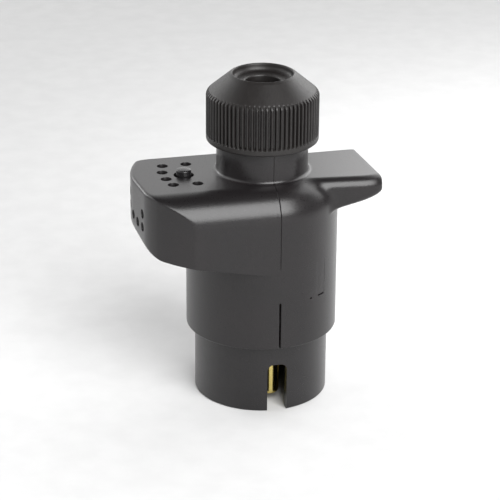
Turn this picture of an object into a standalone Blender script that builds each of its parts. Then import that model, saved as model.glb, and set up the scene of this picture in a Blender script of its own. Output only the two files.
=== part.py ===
"""Seven-pole trailer plug with a screw gland, a side box for a lamp-test module and a finger wing.

The plug axis is vertical.  Sizes are in millimetres and are turned to metres as meshes are made.
Local axes: w runs from the side box (-) to the wing (+), d from the key slot (-) to the back (+),
and z is height above the rim of the contact sleeve.
"""

import math

import bmesh
import bpy
from mathutils import Matrix, Vector

MM = 0.001

# Clearances
FIT_GAP = 0.3  # between pieces that seat on or pass through each other
SEAM_GAP = 0.3  # between the two half shells

# Contact carrier: an open sleeve below, a disc that holds the pins, and a flange the shells grip
SLEEVE_R = 18.8
SLEEVE_WALL = 2.0
CARRIER_FACE_Z = 14.5
FLANGE_Z = 26.0
FLANGE_HEIGHT = 3.0
FLANGE_COVER = 1.23  # from the flange's edge to the outside of the shells
KEY_SLOT_WIDTH = 5.6
KEY_SLOT_HEIGHT = 14.2
KEY_SLOT_CORNER = 1.9

# Contact pins with their screw terminals
PIN_R = 2.5
PIN_TIP_Z = 2.1
PIN_TIP_ROUND = 1.1
PIN_CIRCLE_R = 10.5
RING_PINS = 6
TERMINAL_STEP = 0.5  # the terminal barrel stands this far out from the pin
TERMINAL_HEIGHT = 8.7
WIRE_HOLE_R = 1.5
WIRE_HOLE_DEPTH = 7.0
SCREW_R = 1.0
SCREW_HEAD_R = 1.8
SCREW_HEAD_HEIGHT = 1.2
SCREW_DRIVER_SLOT = 0.5

# Shells: a round body with a rounded shoulder and a neck for the gland
SHELL_STEP = 2.43  # the shells stand this far out from the sleeve
SHELL_WALL = 2.3
SHELL_BOTTOM_Z = 20.2
SHELL_TOP_Z = 66.0
SHOULDER_R = 8.4
NECK_R = 12.1
NECK_HEIGHT = 18.0
NECK_WALL = 3.6
NECK_CHAMFER = 0.5
NECK_COLLAR_STEP = 0.65  # the plain collar below the nut, past the thread

# Snap tongues that bridge the seam, front and back
TONGUE_ANGLE = 41.0
TONGUE_DROP = 32.0  # from the top of the shells down to the tongue's lower edge
TONGUE_HEIGHT = 10.0

# Side box on the left shell
BOX_REACH = 36.8
BOX_FRONT_SINK = 0.23  # from the front of the body back to the box's front face
BOX_BACK = 15.1
BOX_CHAMFER_W = 12.7
BOX_CHAMFER_D = 3.0
BOX_KNUCKLE_W = 4.9  # between the box's end and its slanted corner
BOX_KNUCKLE_D = 8.3
BOX_BACK_CORNER = 5.2
BOX_FRONT_ROUND = 8.4
BOX_BELLY_ROUND = 5.75
BOX_DEPTH = 18.4
BOX_ROOT_DEPTH = 24.1

# Finger wing on the right shell
WING_REACH = 30.9
WING_FRONT = 14.6
WING_FRONT_TAPER = 1.9
WING_BACK = 9.7
WING_END_SLANT = 1.2  # how much further the wing reaches at its front
WING_TIP_THICKNESS = 5.2
WING_ROOT_THICKNESS = 13.4
WING_EDGE = 1.2

# Gland: rubber seal in the neck, thrust ring on it, nut over both
SEAL_LEDGE = 2.0
SEAL_HEIGHT = 11.2
SEAL_RECESS = 2.0  # from the neck's top down to the seal's top, for the thrust ring
CABLE_R = 5.0
RING_BOSS_HEIGHT = 3.8
RING_FLANGE_HEIGHT = 2.4
NUT_WALL = 3.2
NUT_EDGE = 0.5
NUT_LIFT = 9.0  # from the top of the shells up to the nut
NUT_HEIGHT = 18.9
NUT_GRIP_TOP = 13.0  # from the nut's bottom up to the cone
NUT_RIM_STEP = 6.65
NUT_MOUTH_STEP = 7.2
NUT_FLOOR_STEP = 8.1
NUT_FLOOR_DEPTH = 2.15
NUT_HOLE_R = 4.8
NUT_FLOOR_THICKNESS = 2.45

# Test button and the module behind it
BUTTON_INSET = 14.5  # from the box's end to the button's axis
BUTTON_R = 2.1
BUTTON_RISE = 1.8
BUTTON_HOLE_R = 2.7
BUTTON_FLANGE_R = 3.4
BUTTON_FLANGE_HEIGHT = 1.0
BUTTON_STEM_R = 1.2
BUTTON_TRAVEL = 0.9
SWITCH_SIDE = 6.0
SWITCH_HEIGHT = 1.5
SWITCH_PLUNGER_R = 1.5
SWITCH_PLUNGER_HEIGHT = 0.3
BOARD_THICKNESS = 1.6
BOARD_PAST_BUTTON = (-7.3, 5.3)
BOARD_HALF_D = 10.4
END_BOARD_THICKNESS = 1.2
END_BOARD_DROP = (13.0, 4.0)  # below the top of the shells
END_BOARD_D = (-11.8, 8.0)
LAMP_R = 1.5
LAMP_FLANGE = 0.3
LAMP_LENGTH = 5.3
END_LAMP_LENGTH = 2.2
WINDOW_R = 1.5
# (w from the button, d) of each top window, and (d, drop below the top) of each end window
TOP_WINDOWS = ((-4.3, 8.0), (-5.4, 3.1), (-5.4, -2.1), (-4.4, -6.8), (2.4, 8.0), (2.3, -7.3))
END_WINDOWS = ((4.2, 5.0), (4.2, 8.8), (0.1, 10.4), (-4.0, 11.0), (-8.6, 7.0), (-8.6, 10.8))

# Facets round a full turn
BODY_FACETS = 48
PIN_FACETS = 12

# Values that follow from the ones above
AXIS_X = (BOX_REACH - WING_REACH) / 2
SHELL_R = SLEEVE_R + SHELL_STEP
SLEEVE_BORE_R = SLEEVE_R - SLEEVE_WALL
FLANGE_R = SHELL_R - FLANGE_COVER
CARRIER_TOP_Z = FLANGE_Z + FLANGE_HEIGHT
TERMINAL_R = PIN_R + TERMINAL_STEP
TERMINAL_Z = CARRIER_TOP_Z + FIT_GAP
SCREW_Z = TERMINAL_Z + TERMINAL_HEIGHT - WIRE_HOLE_DEPTH / 2
CHAMBER_R = SHELL_R - SHELL_WALL
ROOF_Z = SHELL_TOP_Z - SHELL_WALL
TONGUE_Z = SHELL_TOP_Z - TONGUE_DROP
TONGUE_REACH = SHELL_R * math.sin(math.radians(TONGUE_ANGLE))
NECK_TOP_Z = SHELL_TOP_Z + NECK_HEIGHT
BOX_FRONT = SHELL_R - BOX_FRONT_SINK
BOX_BELLY_Z = SHELL_TOP_Z - BOX_DEPTH
BOX_ROOT_Z = SHELL_TOP_Z - BOX_ROOT_DEPTH
SEAL_SOCKET_R = NECK_R - NECK_WALL
SEAL_SOCKET_Z = NECK_TOP_Z - SEAL_HEIGHT - SEAL_RECESS
NECK_BORE_R = SEAL_SOCKET_R - SEAL_LEDGE
SEAL_R = SEAL_SOCKET_R - FIT_GAP
SEAL_Z = SEAL_SOCKET_Z + FIT_GAP
RING_BORE_R = CABLE_R + FIT_GAP
RING_Z = SEAL_Z + SEAL_HEIGHT + FIT_GAP
RING_TOP_Z = RING_Z + RING_BOSS_HEIGHT + RING_FLANGE_HEIGHT
NUT_BOTTOM_Z = SHELL_TOP_Z + NUT_LIFT
NUT_TOP_Z = NUT_BOTTOM_Z + NUT_HEIGHT
NUT_CEILING_Z = NUT_TOP_Z - NUT_FLOOR_DEPTH - NUT_FLOOR_THICKNESS
NUT_BORE_R = NECK_R + FIT_GAP
NUT_R = NUT_BORE_R + NUT_WALL
RING_FLANGE_R = NUT_BORE_R - 2 * FIT_GAP
BUTTON_W = BUTTON_INSET - BOX_REACH
BUTTON_FLANGE_Z = ROOF_Z - FIT_GAP
BUTTON_STEM_Z = BUTTON_FLANGE_Z - BUTTON_FLANGE_HEIGHT - 1.2
SWITCH_Z = BUTTON_STEM_Z - BUTTON_TRAVEL - FIT_GAP - SWITCH_PLUNGER_HEIGHT - SWITCH_HEIGHT
BOARD_Z = SWITCH_Z - FIT_GAP
LAMP_TIP_Z = ROOF_Z - FIT_GAP
END_LAMP_TIP_W = -(BOX_REACH - SHELL_WALL - FIT_GAP)
END_BOARD_W = END_LAMP_TIP_W + END_LAMP_LENGTH + FIT_GAP

COLOURS = {
    "shell_plastic": ((0.060, 0.058, 0.060), 0.45, 0.0),
    "carrier_plastic": ((0.050, 0.049, 0.050), 0.40, 0.0),
    "nut_plastic": ((0.025, 0.025, 0.027), 0.60, 0.0),
    "ring_plastic": ((0.03, 0.03, 0.032), 0.45, 0.0),
    "brass": ((0.78, 0.57, 0.22), 0.22, 1.0),
    "plated_steel": ((0.62, 0.62, 0.60), 0.30, 1.0),
    "seal_rubber": ((0.020, 0.020, 0.020), 0.80, 0.0),
    "button_plastic": ((0.022, 0.022, 0.024), 0.35, 0.0),
    "board_laminate": ((0.020, 0.160, 0.070), 0.50, 0.0),
    "lamp_epoxy": ((0.030, 0.012, 0.012), 0.20, 0.0),
}


# Scene and object helpers


def clear_scene():
    for item in list(bpy.data.objects):
        bpy.data.objects.remove(item)


def new_collection(name):
    made = bpy.data.collections.new(name)
    bpy.context.scene.collection.children.link(made)
    return made


def make_material(name):
    colour, roughness, metallic = COLOURS[name]
    made = bpy.data.materials.new(name)
    made.use_nodes = True
    shader = made.node_tree.nodes["Principled BSDF"]
    shader.inputs["Base Color"].default_value = (*colour, 1.0)
    shader.inputs["Roughness"].default_value = roughness
    shader.inputs["Metallic"].default_value = metallic
    return made


def new_object(name, mesh, collection, axis):
    made = bpy.data.objects.new(name, mesh)
    collection.objects.link(made)
    made.parent = axis
    return made


def boolean(piece, cutter, operation="DIFFERENCE"):
    step = piece.modifiers.new(f"{operation.lower()}_{cutter.name}", "BOOLEAN")
    step.operation = operation
    step.solver = "EXACT"
    step.object = cutter


def arc(centre, radius, start, end, points):
    """Points on an arc, angles in degrees."""
    cx, cy = centre
    angles = [math.radians(start + (end - start) * i / (points - 1)) for i in range(points)]
    return [(cx + radius * math.cos(a), cy + radius * math.sin(a)) for a in angles]


def inset(outline, distance):
    """A convex anticlockwise outline moved inward by a distance, corner by corner."""
    moved = []
    count = len(outline)
    for i in range(count):
        before, here, after = (Vector(outline[(i + k - 1) % count]) for k in range(3))
        first = (here - before).normalized()
        second = (after - here).normalized()
        normal_a = Vector((-first.y, first.x))
        normal_b = Vector((-second.y, second.x))
        bisector = normal_a + normal_b
        moved.append(tuple(here + bisector * (2 * distance / bisector.length_squared)))
    return moved


class Bench:
    """Makes objects under the plug axis, in the part's collection or among the cutters."""

    def __init__(self, axis, parts, cutters):
        self.axis = axis
        self.parts = parts
        self.cutters = cutters
        self.materials = {name: make_material(name) for name in COLOURS}

    def finish(self, piece, material):
        if material is None:
            piece.hide_render = True
            piece.display_type = "WIRE"
            return piece
        if not piece.data.materials:
            piece.data.materials.append(self.materials[material])
        piece.data.shade_smooth()
        piece.data.set_sharp_from_angle(angle=math.radians(35))
        return piece

    def place(self, name, mesh, material):
        collection = self.cutters if material is None else self.parts
        return self.finish(new_object(name, mesh, collection, self.axis), material)

    def turned(self, name, profile, material=None, facets=BODY_FACETS):
        """A profile of (radius, height) turned round z.  It runs down its outer side."""
        mesh = bpy.data.meshes.new(name)
        ring = profile[0][0] > 0
        count = len(profile)
        edges = [(i, (i + 1) % count) for i in range(count if ring else count - 1)]
        mesh.from_pydata([(r * MM, 0, z * MM) for r, z in profile], edges, [])
        piece = self.place(name, mesh, material)
        turn = piece.modifiers.new("turn", "SCREW")
        turn.axis = "Z"
        turn.angle = math.tau
        turn.steps = facets
        turn.render_steps = facets
        turn.use_merge_vertices = True
        turn.merge_threshold = 0.000005
        return piece

    def plate(self, name, outline, low, high, turn, material=None):
        """A flat outline made a solid from low to high along the plate's own third axis."""
        curve = bpy.data.curves.new(name, "CURVE")
        curve.dimensions = "2D"
        curve.fill_mode = "BOTH"
        curve.extrude = (high - low) / 2 * MM
        line = curve.splines.new("POLY")
        line.points.add(len(outline) - 1)
        for point, (x, y) in zip(line.points, outline):
            point.co = (x * MM, y * MM, 0, 1)
        line.use_cyclic_u = True
        holder = bpy.data.objects.new(name, curve)
        self.cutters.objects.link(holder)
        holder.matrix_world = turn @ Matrix.Translation((0, 0, (low + high) / 2 * MM))
        bpy.context.view_layer.update()
        graph = bpy.context.evaluated_depsgraph_get()
        mesh = bpy.data.meshes.new_from_object(holder.evaluated_get(graph))
        mesh.transform(holder.matrix_world)
        bpy.data.objects.remove(holder)
        shape = bmesh.new()
        shape.from_mesh(mesh)
        bmesh.ops.remove_doubles(shape, verts=shape.verts, dist=0.000005)
        bmesh.ops.recalc_face_normals(shape, faces=shape.faces)
        shape.to_mesh(mesh)
        shape.free()
        return self.place(name, mesh, material)

    def box(self, name, low, high, material=None, corner=0.0):
        mesh = bpy.data.meshes.new(name)
        shape = bmesh.new()
        bmesh.ops.create_cube(shape, size=1)
        size = Vector(high) - Vector(low)
        middle = (Vector(high) + Vector(low)) / 2
        bmesh.ops.scale(shape, vec=size * MM, verts=shape.verts)
        bmesh.ops.translate(shape, vec=middle * MM, verts=shape.verts)
        shape.to_mesh(mesh)
        shape.free()
        piece = self.place(name, mesh, material)
        if corner:
            edge = piece.modifiers.new("corner", "BEVEL")
            edge.width = corner * MM
            edge.segments = 3
        return piece

    def rod(self, name, radius, start, end, direction, material=None, facets=PIN_FACETS):
        """A cylinder along a unit direction through the local origin, from start to end."""
        profile = [(0, end), (radius, end), (radius, start), (0, start)]
        piece = self.turned(name, profile, material, facets)
        piece.rotation_mode = "QUATERNION"
        piece.rotation_quaternion = Vector((0, 0, 1)).rotation_difference(Vector(direction))
        return piece

    def baked(self, piece, name, material):
        """The evaluated mesh of a piece, for copies to share; the piece itself is removed."""
        bpy.context.view_layer.update()
        graph = bpy.context.evaluated_depsgraph_get()
        mesh = bpy.data.meshes.new_from_object(piece.evaluated_get(graph))
        mesh.name = name
        bpy.data.objects.remove(piece)
        if not mesh.materials:
            mesh.materials.append(self.materials[material])
        return mesh


# Plate directions: columns are the plate's first, second and third axes
PLAN = Matrix.Identity(4)
FRONT = Matrix(((1, 0, 0, 0), (0, 0, -1, 0), (0, 1, 0, 0), (0, 0, 0, 1)))
SIDE = Matrix(((0, 0, 1, 0), (1, 0, 0, 0), (0, 1, 0, 0), (0, 0, 0, 1)))


# Shells


def body_profile():
    centre = (SHELL_R - SHOULDER_R, SHELL_TOP_Z - SHOULDER_R)
    return [
        (0, NECK_TOP_Z),
        (NECK_R - NECK_CHAMFER, NECK_TOP_Z),
        (NECK_R, NECK_TOP_Z - NECK_CHAMFER),
        (NECK_R, NUT_BOTTOM_Z - FIT_GAP),
        (NECK_R + NECK_COLLAR_STEP, NUT_BOTTOM_Z - FIT_GAP),
        (NECK_R + NECK_COLLAR_STEP, SHELL_TOP_Z),
        *arc(centre, SHOULDER_R, 90, 0, 6),
        (SHELL_R, SHELL_BOTTOM_Z),
        (0, SHELL_BOTTOM_Z),
    ]


def chamber_profile():
    """The space inside: seal socket, neck bore, terminal chamber, flange groove and mouth."""
    centre = (SHELL_R - SHOULDER_R, SHELL_TOP_Z - SHOULDER_R)
    groove_r = FLANGE_R + FIT_GAP
    mouth_r = SLEEVE_R + FIT_GAP
    return [
        (0, NECK_TOP_Z + 1),
        (SEAL_SOCKET_R, NECK_TOP_Z + 1),
        (SEAL_SOCKET_R, SEAL_SOCKET_Z),
        (NECK_BORE_R, SEAL_SOCKET_Z),
        (NECK_BORE_R, ROOF_Z),
        *arc(centre, SHOULDER_R - SHELL_WALL, 90, 0, 5),
        (CHAMBER_R, CARRIER_TOP_Z + FIT_GAP),
        (groove_r, CARRIER_TOP_Z + FIT_GAP),
        (groove_r, FLANGE_Z - FIT_GAP),
        (mouth_r, FLANGE_Z - FIT_GAP),
        (mouth_r, SHELL_BOTTOM_Z - 1),
        (0, SHELL_BOTTOM_Z - 1),
    ]


def box_outlines():
    """The side box seen from above, from the front and from the side."""
    inner = 6.0
    floor_z = BOX_ROOT_Z - 4.0
    plan = [
        (inner, BOX_BACK),
        (-BOX_REACH + BOX_BACK_CORNER, BOX_BACK),
        (-BOX_REACH + 0.35 * BOX_BACK_CORNER, BOX_BACK - 0.6 * BOX_BACK_CORNER),
        (-BOX_REACH, BOX_BACK - 1.6 * BOX_BACK_CORNER),
        (-BOX_REACH, -BOX_FRONT + BOX_KNUCKLE_D),
        (-BOX_REACH + BOX_KNUCKLE_W, -BOX_FRONT + BOX_CHAMFER_D),
        (-BOX_REACH + BOX_CHAMFER_W, -BOX_FRONT),
        (inner, -BOX_FRONT),
    ]
    centre = (-BOX_REACH + BOX_BELLY_ROUND, BOX_BELLY_Z + BOX_BELLY_ROUND)
    slope = math.degrees(math.atan2(BOX_BELLY_Z - BOX_ROOT_Z, -centre[0]))
    front = [
        (inner, SHELL_TOP_Z),
        (-BOX_REACH, SHELL_TOP_Z),
        *arc(centre, BOX_BELLY_ROUND, 180, 270 - slope, 7),
        (0, BOX_ROOT_Z),
        (inner, BOX_ROOT_Z),
    ]
    side = [
        (BOX_BACK + 1, SHELL_TOP_Z),
        *arc((-BOX_FRONT + BOX_FRONT_ROUND, SHELL_TOP_Z - BOX_FRONT_ROUND), BOX_FRONT_ROUND, 90, 180, 6),
        (-BOX_FRONT, floor_z),
        (BOX_BACK + 1, floor_z),
    ]
    return plan, front, side


def side_box(bench, name, wall):
    """The side box as the overlap of its three views, moved inward by a wall for the hollow."""
    plan, front, side = (inset(outline, wall) if wall else outline for outline in box_outlines())
    solid = bench.plate(name, plan, BOX_ROOT_Z - 6, SHELL_TOP_Z + 2, PLAN)
    boolean(solid, bench.plate(f"{name}_front", front, -BOX_BACK - 4, BOX_FRONT + 4, FRONT), "INTERSECT")
    boolean(solid, bench.plate(f"{name}_side", side, -BOX_REACH - 4, 10, SIDE), "INTERSECT")
    return solid


def finger_wing(bench):
    under_z = SHELL_TOP_Z - WING_TIP_THICKNESS
    root_z = SHELL_TOP_Z - WING_ROOT_THICKNESS
    taper_start = -WING_FRONT + WING_FRONT_TAPER
    plan = [
        (0, WING_BACK),
        (0, taper_start),
        (WING_REACH, -WING_FRONT),
        (WING_REACH - WING_END_SLANT, WING_BACK),
    ]
    front = [
        (-2, SHELL_TOP_Z),
        (-2, root_z),
        (CHAMBER_R / 2, root_z),
        (WING_REACH - 1.4, under_z),
        (WING_REACH + 1, under_z + 1.5),
        (WING_REACH + 1, SHELL_TOP_Z),
    ]
    wing = bench.plate("wing_form", plan, root_z - 2, SHELL_TOP_Z + 2, PLAN)
    boolean(wing, bench.plate("wing_front", front, -WING_BACK - 3, WING_FRONT + 3, FRONT), "INTERSECT")
    edge = wing.modifiers.new("edge", "BEVEL")
    edge.width = WING_EDGE * MM
    edge.segments = 2
    edge.limit_method = "ANGLE"
    edge.angle_limit = math.radians(50)
    return wing


def half_space(bench, name, side, notch):
    """The space a half shell leaves to the other, with the snap tongues kept or let through."""
    face = -side * SEAM_GAP / 2
    far = side * (BOX_REACH + 10)
    low_z = SHELL_BOTTOM_Z - 5
    space = bench.box(
        name,
        (min(face, far), -SHELL_R - 5, low_z),
        (max(face, far), SHELL_R + 5, NECK_TOP_Z + 5),
    )
    gap = FIT_GAP if notch else 0
    for end, direction in (("front", -1), ("back", 1)):
        near_d, far_d = sorted((direction * SHELL_R / 3, direction * (SHELL_R + 8)))
        tongue = bench.box(
            f"{name}_{end}",
            (-2, near_d, TONGUE_Z - gap),
            (TONGUE_REACH + gap, far_d, TONGUE_Z + TONGUE_HEIGHT + gap),
        )
        boolean(space, tongue, "UNION" if notch else "DIFFERENCE")
    return space


def left_shell(bench):
    shell = bench.turned("left_shell", body_profile(), "shell_plastic")
    boolean(shell, side_box(bench, "box_form", 0), "UNION")
    boolean(shell, bench.turned("left_chamber", chamber_profile()))
    boolean(shell, side_box(bench, "box_hollow", SHELL_WALL))
    boolean(shell, half_space(bench, "right_space", 1, notch=False))
    hole = bench.rod("button_hole", BUTTON_HOLE_R, ROOF_Z - 1, SHELL_TOP_Z + 1, (0, 0, 1), facets=16)
    hole.location = (BUTTON_W * MM, 0, 0)
    boolean(shell, hole)
    for number, (from_button, d) in enumerate(TOP_WINDOWS, 1):
        hole = bench.rod(f"top_window_{number}", WINDOW_R, ROOF_Z - 1, SHELL_TOP_Z + 1, (0, 0, 1))
        hole.location = ((BUTTON_W + from_button) * MM, d * MM, 0)
        boolean(shell, hole)
    for number, (d, drop) in enumerate(END_WINDOWS, 1):
        inside = BOX_REACH - SHELL_WALL - 2
        hole = bench.rod(f"end_window_{number}", WINDOW_R, inside, BOX_REACH + 2, (-1, 0, 0))
        hole.location = (0, d * MM, (SHELL_TOP_Z - drop) * MM)
        boolean(shell, hole)
    return shell


def right_shell(bench):
    shell = bench.turned("right_shell", body_profile(), "shell_plastic")
    boolean(shell, finger_wing(bench), "UNION")
    boolean(shell, bench.turned("right_chamber", chamber_profile()))
    boolean(shell, half_space(bench, "left_space", -1, notch=True))
    return shell


# Contacts


def ring_angles():
    return [-90 + 360 * i / RING_PINS for i in range(RING_PINS)]


def contact_carrier(bench):
    bore = PIN_R + FIT_GAP
    rim = 0.4
    carrier = bench.turned(
        "contact_carrier",
        [
            (bore, CARRIER_TOP_Z),
            (FLANGE_R, CARRIER_TOP_Z),
            (FLANGE_R, FLANGE_Z),
            (SLEEVE_R, FLANGE_Z),
            (SLEEVE_R, rim),
            (SLEEVE_R - rim, 0),
            (SLEEVE_BORE_R, 0),
            (SLEEVE_BORE_R, CARRIER_FACE_Z),
            (bore, CARRIER_FACE_Z),
        ],
        "carrier_plastic",
    )
    slot = bench.box(
        "key_slot",
        (-KEY_SLOT_WIDTH / 2, -SLEEVE_R - 4, -4),
        (KEY_SLOT_WIDTH / 2, -SLEEVE_BORE_R + 3, KEY_SLOT_HEIGHT),
        corner=KEY_SLOT_CORNER,
    )
    boolean(carrier, slot)
    for number, angle in enumerate(ring_angles(), 1):
        hole = bench.rod(f"pin_bore_{number}", bore, CARRIER_FACE_Z - 1, CARRIER_TOP_Z + 1, (0, 0, 1))
        turn = math.radians(angle)
        hole.location = (PIN_CIRCLE_R * math.cos(turn) * MM, PIN_CIRCLE_R * math.sin(turn) * MM, 0)
        boolean(carrier, hole)
    return carrier


def contact_mesh(bench):
    """A round pin with a wider terminal barrel: a wire hole in its top, a screw hole in its side."""
    top = TERMINAL_Z + TERMINAL_HEIGHT
    pin = bench.turned(
        "pin_form",
        [
            (0, top - WIRE_HOLE_DEPTH),
            (WIRE_HOLE_R, top - WIRE_HOLE_DEPTH),
            (WIRE_HOLE_R, top),
            (TERMINAL_R, top),
            (TERMINAL_R, TERMINAL_Z),
            (PIN_R, TERMINAL_Z),
            *arc((PIN_R - PIN_TIP_ROUND, PIN_TIP_Z + PIN_TIP_ROUND), PIN_TIP_ROUND, 0, -90, 4),
            (0, PIN_TIP_Z),
        ],
        facets=PIN_FACETS,
    )
    hole = bench.rod("terminal_screw_hole", SCREW_R + FIT_GAP, WIRE_HOLE_R / 2, TERMINAL_R + 1, (1, 0, 0))
    hole.location = (0, 0, SCREW_Z * MM)
    boolean(pin, hole)
    return bench.baked(pin, "contact_pin", "brass")


def terminal_screw_mesh(bench):
    """A slotted screw whose axis is +X from the pin's axis, head outside the barrel."""
    head = TERMINAL_R + FIT_GAP
    outer = head + SCREW_HEAD_HEIGHT
    profile = [(0, outer), (SCREW_HEAD_R, outer), (SCREW_HEAD_R, head)]
    profile += [(SCREW_R, head), (SCREW_R, WIRE_HOLE_R * 0.6), (0, WIRE_HOLE_R * 0.6)]
    screw = bench.turned("screw_form", profile, facets=PIN_FACETS)
    depth = SCREW_HEAD_HEIGHT / 2
    half = SCREW_DRIVER_SLOT / 2
    slot = bench.box("driver_slot", (-half, -SCREW_HEAD_R - 1, outer - depth), (half, SCREW_HEAD_R + 1, outer + 1))
    boolean(screw, slot)
    mesh = bench.baked(screw, "terminal_screw", "plated_steel")
    mesh.transform(Matrix.Rotation(math.radians(90), 4, "Y"))
    return mesh


def contacts(bench):
    pin = contact_mesh(bench)
    screw = terminal_screw_mesh(bench)
    places = [(PIN_CIRCLE_R, angle) for angle in ring_angles()] + [(0, 0)]
    for number, (radius, angle) in enumerate(places, 1):
        turn = math.radians(angle)
        spot = Vector((radius * math.cos(turn), radius * math.sin(turn), 0)) * MM
        contact = bench.place(f"contact_pin_{number}", pin, "brass")
        contact.location = spot
        contact.rotation_euler.z = turn
        clamp = bench.place(f"terminal_screw_{number}", screw, "plated_steel")
        clamp.location = spot + Vector((0, 0, SCREW_Z * MM))
        clamp.rotation_euler.z = turn


# Gland


def gland(bench):
    bench.turned(
        "gland_seal",
        [
            (CABLE_R + 0.8, SEAL_Z + SEAL_HEIGHT),
            (SEAL_R, SEAL_Z + SEAL_HEIGHT),
            (SEAL_R, SEAL_Z),
            (CABLE_R + 0.8, SEAL_Z),
            (CABLE_R, SEAL_Z + 2),
            (CABLE_R, SEAL_Z + SEAL_HEIGHT - 2),
        ],
        "seal_rubber",
        facets=24,
    )
    bench.turned(
        "thrust_ring",
        [
            (RING_BORE_R, RING_TOP_Z),
            (RING_FLANGE_R, RING_TOP_Z),
            (RING_FLANGE_R, RING_TOP_Z - RING_FLANGE_HEIGHT),
            (SEAL_R, RING_TOP_Z - RING_FLANGE_HEIGHT),
            (SEAL_R, RING_Z),
            (RING_BORE_R, RING_Z),
        ],
        "ring_plastic",
        facets=24,
    )
    grip_top = NUT_BOTTOM_Z + NUT_GRIP_TOP
    bench.turned(
        "gland_nut",
        [
            (NUT_R - NUT_MOUTH_STEP, NUT_TOP_Z),
            (NUT_R - NUT_RIM_STEP - 0.2, NUT_TOP_Z),
            (NUT_R - NUT_RIM_STEP, NUT_TOP_Z - 0.4),
            (NUT_R - 0.4, grip_top + 0.3),
            (NUT_R, grip_top - 0.5),
            (NUT_R, NUT_BOTTOM_Z + NUT_EDGE),
            (NUT_R - NUT_EDGE, NUT_BOTTOM_Z),
            (NUT_BORE_R, NUT_BOTTOM_Z),
            (NUT_BORE_R, NUT_CEILING_Z),
            (NUT_HOLE_R, NUT_CEILING_Z),
            (NUT_HOLE_R, NUT_TOP_Z - NUT_FLOOR_DEPTH),
            (NUT_R - NUT_FLOOR_STEP, NUT_TOP_Z - NUT_FLOOR_DEPTH),
        ],
        "nut_plastic",
    )


# Lamp-test module in the side box


def push_button(bench):
    button = bench.turned(
        "push_button",
        [
            (0, SHELL_TOP_Z + BUTTON_RISE),
            (BUTTON_R - 0.5, SHELL_TOP_Z + BUTTON_RISE),
            (BUTTON_R, SHELL_TOP_Z + BUTTON_RISE - 0.4),
            (BUTTON_R, BUTTON_FLANGE_Z),
            (BUTTON_FLANGE_R, BUTTON_FLANGE_Z),
            (BUTTON_FLANGE_R, BUTTON_FLANGE_Z - BUTTON_FLANGE_HEIGHT),
            (BUTTON_STEM_R, BUTTON_FLANGE_Z - BUTTON_FLANGE_HEIGHT),
            (BUTTON_STEM_R, BUTTON_STEM_Z),
            (0, BUTTON_STEM_Z),
        ],
        "button_plastic",
        facets=16,
    )
    button.location.x = BUTTON_W * MM


def button_switch(bench):
    half = SWITCH_SIDE / 2
    switch = bench.box(
        "button_switch",
        (BUTTON_W - half, -half, SWITCH_Z),
        (BUTTON_W + half, half, SWITCH_Z + SWITCH_HEIGHT),
        "plated_steel",
    )
    top = SWITCH_Z + SWITCH_HEIGHT
    plunger = bench.rod("switch_plunger", SWITCH_PLUNGER_R, top - 0.5, top + SWITCH_PLUNGER_HEIGHT, (0, 0, 1))
    plunger.location.x = BUTTON_W * MM
    boolean(switch, plunger, "UNION")


def boards(bench):
    bench.box(
        "circuit_board",
        (BUTTON_W + BOARD_PAST_BUTTON[0], -BOARD_HALF_D, BOARD_Z - BOARD_THICKNESS),
        (BUTTON_W + BOARD_PAST_BUTTON[1], BOARD_HALF_D, BOARD_Z),
        "board_laminate",
    )
    bench.box(
        "end_board",
        (END_BOARD_W, END_BOARD_D[0], SHELL_TOP_Z - END_BOARD_DROP[0]),
        (END_BOARD_W + END_BOARD_THICKNESS, END_BOARD_D[1], SHELL_TOP_Z - END_BOARD_DROP[1]),
        "board_laminate",
    )


def lamp_mesh(bench, name, length):
    """A round-topped lamp with a foot flange, tip at its origin and pointing up."""
    dome = arc((0, -LAMP_R), LAMP_R, 90, 0, 4)
    flange = LAMP_R + LAMP_FLANGE
    foot = [(LAMP_R, -length + 0.7), (flange, -length + 0.7), (flange, -length), (0, -length)]
    profile = [(0, 0)] + dome[1:] + foot
    return bench.baked(bench.turned(f"{name}_form", profile, facets=PIN_FACETS), name, "lamp_epoxy")


def lamps(bench):
    top_lamp = lamp_mesh(bench, "top_lamp", LAMP_LENGTH)
    for number, (from_button, d) in enumerate(TOP_WINDOWS, 1):
        lamp = bench.place(f"top_lamp_{number}", top_lamp, "lamp_epoxy")
        lamp.location = ((BUTTON_W + from_button) * MM, d * MM, LAMP_TIP_Z * MM)
    end_lamp = lamp_mesh(bench, "end_lamp", END_LAMP_LENGTH)
    for number, (d, drop) in enumerate(END_WINDOWS, 1):
        lamp = bench.place(f"end_lamp_{number}", end_lamp, "lamp_epoxy")
        lamp.location = (END_LAMP_TIP_W * MM, d * MM, (SHELL_TOP_Z - drop) * MM)
        lamp.rotation_euler.y = math.radians(-90)


def main():
    clear_scene()
    parts = new_collection("trailer_wiring_connector")
    cutters = new_collection("cutters")
    axis = bpy.data.objects.new("plug_axis", None)
    parts.objects.link(axis)
    axis.location.x = AXIS_X * MM
    bench = Bench(axis, parts, cutters)
    left_shell(bench)
    right_shell(bench)
    contact_carrier(bench)
    contacts(bench)
    gland(bench)
    push_button(bench)
    button_switch(bench)
    boards(bench)
    lamps(bench)


main()
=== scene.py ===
# %% [markdown]
# # A trailer wiring connector
#
# The plug stands on the rim of its contact sleeve. Two half shells of glass-filled nylon hold a contact
# carrier with seven brass pins, a ribbed gland nut clamps the cable, a side box holds a lamp-test module
# and a wing gives the fingers something to push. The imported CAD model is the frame: it fixes every size
# and every joint, and this lesson only gives the pieces their true skins and finishes.

# %% Load the frame
import math

import bpy
import numpy as np
from mathutils import Matrix, Vector


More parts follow.
